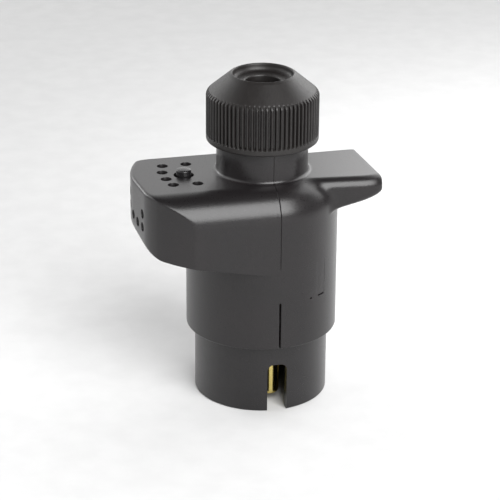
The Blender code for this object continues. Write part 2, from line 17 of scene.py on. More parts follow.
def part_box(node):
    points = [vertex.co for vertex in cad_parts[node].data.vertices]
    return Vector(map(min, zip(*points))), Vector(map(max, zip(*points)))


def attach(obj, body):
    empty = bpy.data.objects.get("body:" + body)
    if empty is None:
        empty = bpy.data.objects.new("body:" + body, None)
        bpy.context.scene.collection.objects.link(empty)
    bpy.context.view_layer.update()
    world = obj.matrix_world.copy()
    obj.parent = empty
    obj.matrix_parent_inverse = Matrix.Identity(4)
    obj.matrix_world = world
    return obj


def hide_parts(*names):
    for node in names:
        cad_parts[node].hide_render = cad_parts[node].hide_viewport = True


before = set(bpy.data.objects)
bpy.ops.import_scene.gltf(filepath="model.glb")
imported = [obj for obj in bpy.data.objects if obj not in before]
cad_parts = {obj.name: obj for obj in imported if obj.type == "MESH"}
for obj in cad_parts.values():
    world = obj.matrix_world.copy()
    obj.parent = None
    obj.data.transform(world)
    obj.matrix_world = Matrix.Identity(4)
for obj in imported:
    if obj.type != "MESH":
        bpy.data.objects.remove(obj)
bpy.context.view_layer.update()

# %% [markdown]
# ## Units and the plug's axis
#
# Lengths are written in millimetres, as a toolmaker writes them, and turned to metres once, when a mesh is
# made. Three directions are used throughout: w runs across the plug from the side box to the finger wing,
# d runs from the key slot at the front to the back, and z runs up. The plug's own axis is w = 0, d = 0,
# and it stands a little beside the middle of the whole object because the box reaches further than the wing.

# %% Units
MM = 0.001
sleeve_low, sleeve_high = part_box("contact_carrier")
AXIS_X = (sleeve_low[0] + sleeve_high[0]) / 2
print("plug axis at x =", round(AXIS_X / MM, 2), "mm")

# %% [markdown]
# ## Surfaces from arrays
#
# Nearly every piece here is moulded or turned, so its skin is a grid: rows run down a profile and columns
# run round the axis. Working the whole grid out with numpy gives smooth rounds at any size. Either the
# first and last rows close on the axis, as on a solid knob, or the last row joins the first, as on a ring.


# %% From a grid of points to a closed mesh
def new_piece(name, points, faces):
    """An object whose place is in its mesh. Points are (w, d, z) in millimetres and faces have four corners.
    Faces that point inwards are turned round: the volume is a sixth of the sum of a . (b x c) over triangles,
    positive when they face out."""
    points = np.asarray(points, dtype=float) * MM
    triangles = np.concatenate([faces[:, [0, 1, 2]], faces[:, [0, 2, 3]]])
    a, b, c = (points[triangles[:, corner]] for corner in range(3))
    if np.einsum("ij,ij->i", a, np.cross(b, c)).sum() < 0:
        faces = faces[:, ::-1]
    points[:, 0] += AXIS_X
    mesh = bpy.data.meshes.new(name)
    loops = [[v for i, v in enumerate(face) if v != face[i - 1]] for face in faces.tolist()]
    mesh.from_pydata(points.tolist(), [], loops)
    piece = bpy.data.objects.new(name, mesh)
    bpy.context.scene.collection.objects.link(piece)
    return piece


def grid_piece(name, grid, ring=False):
    """Skin of grid[row, column] = (w, d, z): columns join round the axis. With ring the last row joins the
    first, otherwise each end row is closed by triangles to its own middle."""
    rows, columns = grid.shape[:2]
    index = np.arange(rows * columns).reshape(rows, columns)
    beside = np.roll(index, -1, axis=1)
    points = grid.reshape(-1, 3)
    if ring:
        below, corner = np.roll(index, -1, axis=0), np.roll(beside, -1, axis=0)
        return new_piece(name, points, np.stack([index, beside, corner, below], -1).reshape(-1, 4))
    faces = [np.stack([index[:-1], beside[:-1], beside[1:], index[1:]], -1).reshape(-1, 4)]
    for row, pole in ((0, rows * columns), (-1, rows * columns + 1)):
        ends = (beside[row], index[row]) if row == 0 else (index[row], beside[row])
        middle = np.full(columns, pole)
        faces.append(np.stack([middle, middle, *ends], -1))
    points = np.concatenate([points, [grid[0].mean(axis=0)], [grid[-1].mean(axis=0)]])
    return new_piece(name, points, np.concatenate(faces))


# %% Profiles with rounded corners, and turned pieces
def softened(corners, steps=4):
    """Profile through corners (r, z, cut): each corner is replaced by the parabola that leaves one side at
    distance cut before it and meets the next side at distance cut after it."""
    path = []
    count = len(corners)
    for i, (r, z, cut) in enumerate(corners):
        here = np.array((r, z), dtype=float)
        if cut <= 0:
            path.append(here)
            continue
        before = np.array(corners[i - 1][:2], dtype=float) - here
        after = np.array(corners[(i + 1) % count][:2], dtype=float) - here
        start = here + before / np.linalg.norm(before) * cut
        end = here + after / np.linalg.norm(after) * cut
        t = np.linspace(0, 1, steps + 1)[:, None]
        path.extend((1 - t) ** 2 * start + 2 * t * (1 - t) * here + t**2 * end)
    return np.array(path)


def turned(name, profile, columns=96, ring=True):
    """Profile (r, z) carried round a vertical axis: w = r cos(turn), d = r sin(turn)."""
    turn = np.linspace(0, 2 * math.pi, columns, endpoint=False)
    r, z = profile[:, :1], profile[:, 1:]
    grid = np.stack([r * np.cos(turn), r * np.sin(turn), z + 0 * turn], -1)
    return grid_piece(name, grid, ring)


# %% Cutting and joining
def combine(piece, tool, operation="DIFFERENCE"):
    """The tool is cut from the piece, or joined to it, and the tool is then removed."""
    cut = piece.modifiers.new("combine", "BOOLEAN")
    cut.operation = operation
    cut.solver = "MANIFOLD"
    cut.object = tool
    made = bpy.data.meshes.new_from_object(piece.evaluated_get(bpy.context.evaluated_depsgraph_get()))
    piece.modifiers.clear()
    old, piece.data = piece.data, made
    bpy.data.meshes.remove(old)
    bpy.data.objects.remove(tool)
    return piece


def block(name, low, high):
    """A plain box between two corners (w, d, z), for the cutting tools and the floor."""
    w, d, z = (np.array([low[i], high[i]], dtype=float) for i in range(3))
    order = np.array([(0, 0), (1, 0), (1, 1), (0, 1)])
    grid = np.array([[(w[i], d[j], level) for i, j in order] for level in z])
    return grid_piece(name, grid)


def soften(piece, angle=32):
    """Smooth shading, broken where two faces meet at more than the angle."""
    piece.data.shade_smooth()
    piece.data.set_sharp_from_angle(angle=math.radians(angle))
    return piece


def in_place(piece, body, finish, slot, *nodes):
    """Gives the piece its finish, hangs it on a body and lets it stand for its CAD nodes."""
    piece.data.materials.clear()
    piece.data.materials.append(finish)
    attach(piece, body)
    if nodes:
        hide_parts(*nodes)
    piece.data.update()
    print(piece.name, len(piece.data.polygons), "faces, on", body)


# %% [markdown]
# ## Finishes
#
# The object is plastic almost everywhere, so the difference between its pieces lies in the tool they were
# moulded in. The shells came from a spark-eroded mould, which leaves a fine even grain. The nut's mould
# was polished and then left dull. Each finish is a small node tree on Object coordinates, so its grain
# keeps its real size on every piece.


# %% Colours and nodes
def linear(hex_colour):
    """sRGB hex to linear light: c / 12.92 in the darkest part, ((c + 0.055) / 1.055) ** 2.4 above."""
    parts = [int(hex_colour[i : i + 2], 16) / 255 for i in (1, 3, 5)]
    return (*[c / 12.92 if c <= 0.04045 else ((c + 0.055) / 1.055) ** 2.4 for c in parts], 1.0)


def node(tree, kind, sockets=(), **settings):
    """Adds one node. Settings are its own properties; sockets maps an input to a value or another output."""
    made = tree.nodes.new(kind)
    for key, value in settings.items():
        setattr(made, key, value)
    for key, value in dict(sockets).items():
        if isinstance(value, bpy.types.NodeSocket):
            tree.links.new(value, made.inputs[key])
        else:
            made.inputs[key].default_value = value
    return made


def finish(
    name, colours, grain_mm, bump, roughness, bump_height=0.00003, detail=2.0, blotch_mm=9.0, **surface
):
    """A moulded or machined skin. A noise with cells of blotch_mm mixes two close colours, a noise with cells
    of grain_mm lifts the surface by bump_height metres and moves the roughness between its two values."""
    made = bpy.data.materials.new(name)
    made.use_nodes = True
    tree = made.node_tree
    tree.nodes.clear()
    place = node(tree, "ShaderNodeTexCoord").outputs["Object"]
    blotch = node(tree, "ShaderNodeTexNoise", {"Vector": place, "Scale": 1000 / blotch_mm, "Detail": 3.0})
    grain = node(tree, "ShaderNodeTexNoise", {"Vector": place, "Scale": 1000 / grain_mm, "Detail": detail})
    shade = node(tree, "ShaderNodeValToRGB", {"Fac": blotch.outputs["Fac"]})
    shade.color_ramp.elements[0].position = 0.35
    shade.color_ramp.elements[1].position = 0.65
    shade.color_ramp.elements[0].color = linear(colours[0])
    shade.color_ramp.elements[1].color = linear(colours[1])
    spread = {"From Min": 0.3, "From Max": 0.7, "To Min": roughness[0], "To Max": roughness[1]}
    rough = node(tree, "ShaderNodeMapRange", {"Value": grain.outputs["Fac"], **spread})
    height = {"Height": grain.outputs["Fac"], "Strength": bump, "Distance": bump_height}
    lift = node(tree, "ShaderNodeBump", height)
    sockets = {"Base Color": shade.outputs["Color"], "Roughness": rough.outputs["Result"]}
    sockets["Normal"] = lift.outputs["Normal"]
    skin = node(tree, "ShaderNodeBsdfPrincipled", {**sockets, **surface})
    node(tree, "ShaderNodeOutputMaterial", {"Surface": skin.outputs["BSDF"]})
    return made


# %% The plastics
# Glass-filled nylon from a spark-eroded mould: a satin charcoal with a fine even grain. The grain is
# 0.15 mm across on the real surface and is drawn at 0.3 mm so that it shows.
shell_nylon = finish(
    "glass_filled_nylon_spark_eroded", ("#191718", "#1c191a"), 0.3, 0.25, (0.27, 0.35), blotch_mm=14.0
)
# The carrier is the same nylon from a smoother tool.
carrier_nylon = finish("glass_filled_nylon_smooth", ("#181617", "#1b191a"), 0.35, 0.2, (0.27, 0.35))
# The nut is unfilled nylon, duller and a little darker, with faint flow marks.
nut_nylon = finish(
    "black_nylon_moulded_dull", ("#181514", "#1d1a19"), 0.5, 0.35, (0.38, 0.52), blotch_mm=5.0, detail=4.0
)
# The button is polished acetal: nearly black, with one small bright reflection on its dome.
button_acetal = finish("black_acetal_polished", ("#171617", "#1c1b1c"), 0.6, 0.1, (0.22, 0.3))
# The ring is nylon left as it came from a plain mould, coloured nearly black and darker than the other
# plastics as painted shade: it only shows through the nut's hole, where there is shade.
ring_nylon_painted_shade = finish("nylon_moulded_plain_painted_shade", ("#121111", "#161514"), 0.4, 0.2, (0.45, 0.6))
# Seal rubber is matte, with the fine bloom that moulded rubber gets.
seal_rubber = finish("nitrile_rubber_moulded", ("#161616", "#1f1f1e"), 0.4, 0.4, (0.62, 0.8))

# %% The metals and the module
# Free-cutting brass, turned and bright: fine rings from the tool, drawn as a fine grain.
pin_brass = finish("brass_turned_bright", ("#c9b466", "#d6c47c"), 0.25, 0.15, (0.12, 0.2), Metallic=1.0)
# Zinc-plated steel: paler and duller than the brass, with no colour of its own.
screw_steel = finish("steel_zinc_plated", ("#b4b6b4", "#c9cac6"), 0.3, 0.2, (0.25, 0.38), Metallic=1.0)
# Circuit board: an even green with the slight gloss of its solder mask.
board_laminate = finish("glass_laminate_solder_masked", ("#12492b", "#185a36"), 0.8, 0.3, (0.25, 0.4))
# Smoked epoxy for the lamps, which are real parts: made nearly black and hardly shining as painted shade, so
# each window stays as dark as the shade inside it.
lamp_epoxy_painted_shade = finish(
    "smoked_epoxy_painted_shade", ("#050404", "#080606"), 0.8, 0.05, (0.4, 0.5), **{"Specular IOR Level": 0.15}
)
print(len(bpy.data.materials), "finishes")

# %% [markdown]
# ## The half shells
#
# Each half shell is one moulding: half of a round body with a rolled shoulder, half of the threaded neck, and
# either the side box or the finger wing. Seen from the plug's axis each of them has a single skin in every
# direction, so the whole outside is one function: for a direction and a height it gives the distance
# from the axis to the skin. Box and wing are flat faces, and the distance to a flat face is its offset
# divided by how squarely the direction meets it. The nearest of a form's faces is its skin, and the further
# of box and body is the skin of both together.

# %% Sizes of the shells
BODY_R = 21.23
BOTTOM_Z = 20.2
TOP_Z = 66.0
SHOULDER = 8.4
NECK_R = 12.1
COLLAR_R = 12.75
NECK_TOP_Z = 84.0
SEAM_GAP = 0.12
OPEN_SEAM = 0.3
WALL = 2.3
CEILING_Z = TOP_Z - WALL
TONGUE_LOW, TONGUE_HIGH = 34.0, 44.0
TONGUE_REACH = 13.93
print("shells", TOP_Z - BOTTOM_Z, "mm high without the neck")


# %% Blends
def smooth_max(a, b, k):
    """The larger of a and b, with the corner between them filled over a difference of k: h squared * k / 4
    is added, where h falls from 1 where they are equal to 0 where they differ by k."""
    k = np.maximum(k, 1e-6)
    h = np.clip(1 - np.abs(a - b) / k, 0, 1)
    return np.maximum(a, b) + h**2 * k / 4


def smooth_min(a, b, k):
    """The smaller of a and b, with the corner between them rounded off."""
    return -smooth_max(-a, -b, k)


def rounded_in(distance, radius):
    """How far a quarter round of this radius has drawn in at this distance from its end."""
    short = np.clip(radius - distance, 0, radius)
    return radius - np.sqrt(radius**2 - short**2)


def to_face(turn, across, along, offset):
    """Distance from the axis to the flat face whose normal is (across, along), in the direction turn."""
    square = across * np.cos(turn) + along * np.sin(turn)
    return np.where(square > 1e-4, offset / np.maximum(square, 1e-4), 1e3)


# %% The round body, the side box and the finger wing
# The round of the belly, the place of its centre, and the flat underside below it
BELLY_R, BELLY_W, BELLY_Z = 5.75, 30.85, 53.5
UNDERSIDE_W, UNDERSIDE_Z, UNDERSIDE_SLOPE = 28.6, 47.25, 0.1885
UNDERSIDE_TOP_Z = 47.85
# Each side face of the box: its normal across and along, its offset, and how softly it meets the one before
BOX_SIDES = [
    (-0.3637, -0.9315, 28.41, 0.4),
    (-0.737, -0.676, 35.3, 2.4),
    (-0.9965, -0.0837, 36.42, 2.6),
    (-0.978, 0.2095, 36.63, 1.0),
    (-0.81, 0.587, 35.4, 2.5),
    (0.0, 1.0, 15.1, 3.0),
]


def body_reach(z):
    """A cylinder whose top edge is rolled in by a quarter round of radius SHOULDER."""
    return BODY_R - rounded_in(TOP_Z - z, SHOULDER)


def belly_reach(z):
    """How far the box reaches at a height: a round of radius BELLY_R below its widest part, then a flat
    underside that rises outwards by UNDERSIDE_SLOPE millimetres in each millimetre. Above the round there is
    no limit, which is written as 60 mm."""
    lower = UNDERSIDE_W - (UNDERSIDE_Z - z) / UNDERSIDE_SLOPE
    rounded = BELLY_W + np.sqrt(np.clip(BELLY_R**2 - (BELLY_Z - z) ** 2, 0, None))
    return np.where(z > BELLY_Z, 60.0, np.where(z > UNDERSIDE_TOP_Z, rounded, np.clip(lower, 0.5, None)))


def box_reach(turn, z, inward=0.0):
    """The nearest of the box's faces, seen from above: front, slanted corner, knuckle, two faces of the end,
    back corner and back, and below them the belly. The front's top is rolled in by a quarter round of radius
    SHOULDER, every other top edge by 1 mm. Inward moves every face in, for the hollow."""
    edge = rounded_in(TOP_Z - z, 1.0)
    reach = to_face(turn, 0, -1, 21.2 - rounded_in(TOP_Z - z, SHOULDER) - inward)
    for across, along, offset, blend in BOX_SIDES:
        reach = smooth_min(reach, to_face(turn, across, along, offset - edge - inward), blend)
    belly = np.minimum(belly_reach(z - inward), belly_reach(z) - inward)
    return smooth_min(reach, to_face(turn, -1, 0, np.maximum(belly, 0.5)), 0.8)


def wing_reach(turn, z):
    """The nearest of the wing's faces: a slightly slanted front with a 3 mm round at its top, a slanted end,
    back, and an underside that rises outwards and meets the end in a large round."""
    edge = rounded_in(TOP_Z - z, 1.0)
    front = to_face(turn, -0.102, -0.9948, 11.81 - rounded_in(TOP_Z - z, 3.0))
    back = to_face(turn, 0, 1, 9.7 - edge)
    under = smooth_min(30.25 - edge, 28.8 + (z - 60.0) * 3.45, 6.5)
    end = to_face(turn, 0.9985, 0.055, np.maximum(under, 0.5))
    reach = smooth_min(front, end, 8.0)
    return smooth_min(reach, back, 1.6)


# %% The seam edges and the whole skin
def seam_inset(turn, z, r):
    """The two shells' edges are rounded where they meet, more in the lower part, which stands open. Over the
    tongues the skin runs straight across."""
    from_seam = np.abs(r * np.cos(turn)) - SEAM_GAP / 2
    lower = np.clip((TONGUE_LOW - z) / 0.4, 0, 1)
    upper = np.clip((z - TONGUE_HIGH) / 0.4, 0, 1)
    wide = rounded_in(np.maximum(from_seam - 0.1, 0), 0.4)
    fine = rounded_in(np.maximum(from_seam, 0), 0.1)
    return wide * lower + fine * upper


def shell_reach(turn, z):
    """Distance from the axis to the outside of the closed pair of shells."""
    body = body_reach(z) + 0 * turn
    across = body * np.cos(turn)
    box_blend = 2.0 * np.clip((-across - 3.0) / 5.0, 0, 1)
    wing_blend = 2.6 * np.clip((across - 3.0) / 5.0, 0, 1)
    box = np.where(np.cos(turn) < 0, box_reach(turn, z), 0)
    wing = np.where(np.cos(turn) > 0, wing_reach(turn, z), 0)
    reach = smooth_max(smooth_max(body, box, box_blend), wing, wing_blend)
    reach = reach - seam_inset(turn, z, reach)
    return reach - rounded_in(z - BOTTOM_Z, 0.3)


# %% Rows and columns of the skin
def even_rows(r, z, rows, bend_weight=3.5):
    """Rows of each column placed where they are needed: evenly over path length plus bend_weight millimetres
    for every radian that the path turns. Each column's measure is shifted by its own number, so that one
    interpolation serves them all."""
    steps_r, steps_z = np.diff(r, axis=0), np.diff(z, axis=0)
    length = np.hypot(steps_r, steps_z)
    heading = np.unwrap(np.arctan2(steps_r, -steps_z), axis=0)
    bend = np.abs(np.diff(heading, axis=0, prepend=heading[:1]))
    measure = np.cumsum(length + bend_weight * bend, axis=0)
    measure = np.concatenate([np.zeros_like(measure[:1]), measure]) / measure[-1]
    columns = r.shape[1]
    shift = 2.0 * np.arange(columns)
    known = (measure + shift).T.ravel()
    wanted = (np.linspace(0, 1, rows)[:, None] + shift).T.ravel()
    new_r = np.interp(wanted, known, r.T.ravel()).reshape(columns, rows).T
    new_z = np.interp(wanted, known, z.T.ravel()).reshape(columns, rows).T
    return new_r, new_z


SEAM_STEPS = (0, 0.4, 0.65, 0.9, 1.2, 1.5, 2)


def directions(fine_from, fine_to, corners):
    """Columns, given in degrees: every 1.25 in the half that is kept, every 6 in the half that is cut away,
    and closer beside the seam and round each corner."""
    kept = np.arange(fine_from, fine_to, 1.25)
    cut = np.arange(fine_to, fine_from + 360, 6.0)
    seam = [side + sign * step for side in (90.0, 270.0) for sign in (-1, 1) for step in SEAM_STEPS]
    near = [corner + step for corner in corners for step in np.arange(-4.0, 4.01, 0.4)]
    every = np.unique(np.round(np.concatenate([kept, cut, seam, near]) % 360, 3))
    keep = np.concatenate([[True], np.diff(every) > 0.12])
    return np.radians(every[keep])


# %% The neck's thread
def neck_rows(turn):
    """Radius and height of the neck from its top edge down to its fillet: the thread, then a plain collar of
    radius COLLAR_R below the nut. The thread rises 2 mm a turn: its depth is a rounded wave of
    z / 2 - turn / 360, faded out at both ends."""
    plain = [74.9, 74.75, 74.7, 74.6, 74.4, 71.0, 68.0, 67.2, 67.0]
    edge = [NECK_TOP_Z, NECK_TOP_Z, NECK_TOP_Z - 0.25, NECK_TOP_Z - 0.5]
    z = np.concatenate([edge, np.arange(83.3, 75.2, -0.2), plain])
    r = np.full(z.shape, NECK_R)
    r[:3] = (11.2, 11.6, 11.85)
    r[-7:] = (COLLAR_R - 0.2, COLLAR_R - 0.06, *[COLLAR_R] * 5)
    z, r = z[:, None] + 0 * turn, r[:, None] + 0 * turn
    wave = np.cos(2 * math.pi * (z / 2.0 - turn / (2 * math.pi)))
    fade = np.clip((z - 75.4) / 0.6, 0, 1) * np.clip((83.3 - z) / 0.5, 0, 1)
    r = r - fade * 0.35 * (1 - np.clip(wave * 1.6, -1, 1))
    bend = np.radians(np.arange(15, 91, 15))[:, None] + 0 * turn
    fillet_r = COLLAR_R + 1.0 - np.cos(bend)
    fillet_z = TOP_Z + 1.0 - np.sin(bend)
    return np.concatenate([r, fillet_r]), np.concatenate([z, fillet_z])


def shell_form(name, turn, recess):
    """Neck, flat top and wall as one closed grid. Recess says how far the skin sinks at a (w, z)."""
    turn = turn[None, :]
    neck_r, neck_z = neck_rows(turn)
    wall_z = np.linspace(TOP_Z, BOTTOM_Z, 2400)[:, None] + 0 * turn
    wall_r = shell_reach(turn, wall_z)
    wall_r = wall_r - recess(wall_r * np.cos(turn), wall_z)
    wall_r, wall_z = even_rows(wall_r, wall_z, 170)
    share = np.array([0.02, 0.25, 0.6, 0.9, 0.99])[:, None]
    top_r = neck_r[-1:] + share * (wall_r[:1] - neck_r[-1:])
    r = np.concatenate([neck_r, top_r, wall_r])
    z = np.concatenate([neck_z, TOP_Z + 0 * top_r, wall_z])
    return grid_piece(name, np.stack([r * np.cos(turn), r * np.sin(turn), z], -1))


# %% [markdown]
# The inside is cut out afterwards, as a core does in the mould: the chamber for the terminals, the groove
# that holds the carrier's flange, the seal's socket in the neck, and the hollow of the side box.


# %% Cores
def chamber_core(name):
    """Turned core: seal socket, cable bore, chamber, flange groove and mouth."""
    corners = [
        (0, 90, 0),
        (8.5, 90, 0),
        (8.5, 70.8, 0),
        (6.5, 70.8, 0),
        (6.5, CEILING_Z, 0),
        (14.0, CEILING_Z, 0),
        (18.93, 59.0, 2.0),
        (18.93, 29.3, 0),
        (20.3, 29.3, 0),
        (20.3, 25.7, 0),
        (19.1, 25.7, 0),
        (19.1, 10.0, 0),
        (0, 10.0, 0),
    ]
    profile = softened(corners)
    return turned(name, profile[1:-1], columns=180, ring=False)


def box_core(name):
    """The box's hollow: the box's own faces, moved in by the wall."""
    turn = np.radians(np.arange(0, 360, 2.0))[None, :]
    z = np.concatenate([[CEILING_Z], np.arange(63.2, 44.0, -0.6)])[:, None] + 0 * turn
    r = np.where(np.cos(turn) < -0.05, box_reach(turn, z, inward=WALL), 10.0)
    r = np.clip(r, 4.0, None)
    return grid_piece(name, np.stack([r * np.cos(turn), r * np.sin(turn), z], -1))


def tongue_block(name, grow):
    """The space of the two snap tongues, front and back, grown by the play they need in their notches."""
    low, high = TONGUE_LOW - grow, TONGUE_HIGH + grow
    front = block(name, (-2, -30, low), (TONGUE_REACH + grow, -8, high))
    back = block(f"{name}_back", (-2, 8, low), (TONGUE_REACH + grow, 30, high))
    return combine(front, back, "UNION")


def half_block(name, side):
    """Everything on one side of the seam, seen from the other shell."""
    parts = []
    for gap, low, high in ((SEAM_GAP, 5.0, 95.0), (OPEN_SEAM, 4.0, TONGUE_LOW - 0.1)):
        face, far = -side * gap / 2, side * 60
        parts.append(block(name, (min(face, far), -40, low), (max(face, far), 40, high)))
    return combine(parts[0], parts[1], "UNION")


# %% Holes
def hole_tool(name, radius, low, high, lip=0.25):
    """A turned cutter for a moulded hole: straight, and wider by lip at the outer edge."""
    wide = radius + lip
    profile = np.array([(radius, low), (radius, high - 2 * lip), (wide, high), (wide, high + 3)])
    return turned(name, profile, columns=40, ring=False)


def moved(piece, matrix):
    """Moves the mesh itself, so the object stays at the origin. The matrix is in millimetres, about the
    plug's axis."""
    into = Matrix.Translation((AXIS_X, 0, 0))
    matrix = matrix.copy()
    matrix.translation = matrix.translation * MM
    piece.data.transform(into @ matrix @ into.inverted())
    return piece


# The button's axis, the windows in the top at (w, d) and the windows in the end at (d, z)
BUTTON_W = -22.3
TOP_WINDOWS = [(-26.6, 8.0), (-27.7, 3.1), (-27.7, -2.1), (-26.7, -6.8), (-19.9, 8.0), (-20.0, -7.3)]
END_WINDOWS = [(4.2, 61.0), (4.2, 57.2), (0.1, 55.6), (-4.0, 55.0), (-8.6, 59.0), (-8.6, 55.2)]
BUTTON_HOLE_R, TOP_WINDOW_R, END_WINDOW_R = 2.7, 1.5, 1.3
END_FACES = BOX_SIDES[2:4]
HOLE_LOW_Z = 61.0


def box_holes():
    """One cutter for each hole: the button's and six windows in the top, six windows in the end."""
    button_hole = hole_tool("button_hole", BUTTON_HOLE_R, HOLE_LOW_Z, TOP_Z, 0.12)
    tools = [moved(button_hole, Matrix.Translation((BUTTON_W, 0, 0)))]
    for w, d in TOP_WINDOWS:
        window = hole_tool("top_window", TOP_WINDOW_R, HOLE_LOW_Z, TOP_Z, 0.04)
        tools.append(moved(window, Matrix.Translation((w, d, 0))))
    lying = Matrix.Rotation(math.radians(-90), 4, "Y")
    for d, z in END_WINDOWS:
        reach = min((offset - along * d) / -across for across, along, offset, blend in END_FACES)
        window = hole_tool("end_window", END_WINDOW_R, 32.0, reach, 0.05)
        tools.append(moved(window, Matrix.Translation((0, d, z)) @ lying))
    return tools


# %% The left shell, with the side box
def tongue_recess(w, z):
    """Past 11.1 mm from the seam the tongue's end is sunk 0.03 mm, so that a blade can reach it."""
    on_tongue = (z <= TONGUE_HIGH) & (z >= TONGUE_LOW)
    return 0.03 * np.clip((w - 11.1) / 0.25, 0, 1) * on_tongue


left_corners = (154, 158, 163, 167, 176, 200, 204, 210, 221.7)
left = shell_form("left_half_shell", directions(40, 320, left_corners), tongue_recess)
combine(left, chamber_core("chamber"))
combine(left, box_core("box_hollow"))
right_space = half_block("right_space", 1)
combine(right_space, tongue_block("tongues", 0.0))
combine(left, right_space)
for tool in box_holes():
    combine(left, tool)
soften(left)
in_place(left, "root", shell_nylon, "shell_plastic", "left_shell")


# %% The right shell, with the finger wing
right = shell_form("right_half_shell", directions(-92, 92, (-27, -24, 16, 14)), lambda w, z: 0 * w)
combine(right, chamber_core("chamber"))
combine(right, half_block("left_space", -1))
combine(right, tongue_block("notches", 0.006))
# The release slit under the tongue's end, and the gate mark beside it
combine(right, block("slit", (11.7, -30, 33.6), (13.8, -8, 34.0)))
dot_place = Matrix.Rotation(math.radians(-64), 4, "Z") @ Matrix.Translation((0, 0, 33.8))
lying_outwards = Matrix.Rotation(math.radians(90), 4, "Y")
combine(right, moved(hole_tool("dot", 0.25, 10.0, 21.0, 0.1), dot_place @ lying_outwards))
soften(right)
in_place(right, "root", shell_nylon, "shell_plastic", "right_shell")

# %% [markdown]
# ## The gland nut
#
# The nut is one nylon moulding with a grip of seventy-two straight ribs under a cone. A lathe shape with
# ribs modelled one by one would be slow and heavy. Here the ribs come from one rule: the skin is the smaller
# of two radii, the nut's own outline and the rib pattern round it. The grooves then run out by themselves
# where the cone comes inside the groove floor, in the small arches that the real mould leaves. At the other
# end they stop above a plain band, which keeps the nut's lower edge strong.

# %% Outline and ribs
NUT_R = 15.6
RIBS = 72
GROOVE_DEPTH = 0.95
RIM_R = 8.95
CONE_HEIGHT = 5.6
BAND_HEIGHT = 1.6
NUT_BORE_R = 12.4
nut_low, nut_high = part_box("gland_nut")
NUT_FOOT = nut_low[2] / MM
NUT_TOP = nut_high[2] / MM
print("nut", round(NUT_TOP - NUT_FOOT, 2), "mm high")


def nut_outline(z):
    """Radius of the nut without ribs: straight, with a 0.5 mm round at the foot, then a cone of about 50
    degrees to the rim, with the corner between them softened."""
    low = NUT_R - rounded_in(z - NUT_FOOT, 0.5)
    cone = RIM_R + (NUT_TOP - z) * (NUT_R - RIM_R) / CONE_HEIGHT
    return smooth_min(low, cone, 0.7)


def groove_share(z):
    """The grooves stop above a plain band: their depth fades out in the 0.5 mm above BAND_HEIGHT."""
    return np.clip((z - NUT_FOOT - BAND_HEIGHT) / 0.5, 0, 1)


def rib_pattern():
    """Angles and sink of the grip: for each rib a rounded top, steep flanks and a flat groove as wide."""
    share = np.array([0.0, 0.1, 0.18, 0.24, 0.3, 0.42, 0.58, 0.7, 0.76, 0.82, 0.9])
    sink = np.array([0.0, 0.03, 0.14, 0.6, 0.93, 1.0, 1.0, 0.93, 0.6, 0.14, 0.03])
    turn = (np.arange(RIBS)[:, None] + share).ravel() * 2 * math.pi / RIBS
    return turn, np.tile(sink * GROOVE_DEPTH, RIBS)


def nut_form(name):
    """Outside rows from the foot up, then the lip, the sloping recess, the hole, the ceiling and the bore."""
    turn, sink = rib_pattern()
    foot = NUT_FOOT + np.array([0, 0.02, 0.08, 0.18, 0.32, 0.5, 1.5, 1.6, 1.7, 1.8, 1.9, 2.0, 2.1])
    grip, bend, cone = [79.0, 82.0, 85.0], np.arange(87.0, 90.6, 0.2), [91.5, 92.5, 93.3, NUT_TOP - 0.35]
    z = np.concatenate([foot, grip, bend, cone])[:, None]
    r = np.minimum(nut_outline(z), NUT_R - groove_share(z) * sink[None, :])
    inside = [
        (8.88, NUT_TOP - 0.12, 0),
        (8.75, NUT_TOP - 0.02, 0),
        (8.62, NUT_TOP, 0),
        (8.48, NUT_TOP - 0.05, 0),
        (8.38, NUT_TOP - 0.2, 0),
        (8.2, 91.75, 1.5),
        (5.1, 91.75, 0.15),
        (4.85, 91.5, 0),
        (4.8, 91.2, 0),
        (4.8, 89.3, 0),
        (NUT_BORE_R, 89.3, 0),
        (NUT_BORE_R, NUT_FOOT + 0.6, 0),
        (13.0, NUT_FOOT, 0),
        (14.2, NUT_FOOT, 0),
    ]
    profile = softened(inside, 8)
    r_in = profile[:, :1] + 0 * turn
    r = np.concatenate([r, r_in])
    z = np.concatenate([z + 0 * turn, profile[:, 1:] + 0 * turn])
    return grid_piece(name, np.stack([r * np.cos(turn), r * np.sin(turn), z], -1), ring=True)


# %% The gland nut
nut = soften(nut_form("ribbed_gland_nut"), 40)
in_place(nut, "gland_nut", nut_nylon, "nut_plastic", "gland_nut")

# %% [markdown]
# ## Seal, thrust ring and carrier
#
# Under the nut a nylon ring presses on a rubber sleeve that grips the cable. They and the contact carrier
# are plain turned forms, so each is a profile with small rounds carried round the axis. The key slot in the
# sleeve is cut as the mould's side core would leave it, with round upper corners.

# %% Seal and thrust ring
seal_profile = softened(
    [
        (5.8, 82.3, 0.4),
        (8.2, 82.3, 0.5),
        (8.2, 71.1, 0.5),
        (5.8, 71.1, 0.4),
        (5.0, 73.1, 0.6),
        (5.0, 80.3, 0.6),
    ]
)
seal = soften(turned("rubber_seal", seal_profile))
in_place(seal, "root", seal_rubber, "seal_rubber", "gland_seal")
ring_profile = softened(
    [
        (5.3, 88.8, 0.4),
        (11.8, 88.8, 0.4),
        (11.8, 86.4, 0.3),
        (8.2, 86.4, 0.3),
        (8.2, 82.6, 0.4),
        (5.3, 82.6, 0.4),
    ]
)
# The ring's nearly black finish is painted shade for the inside of the nut's hole.
ring = soften(turned("nylon_thrust_ring", ring_profile))
in_place(ring, "thrust_ring", ring_nylon_painted_shade, "ring_plastic", "thrust_ring")

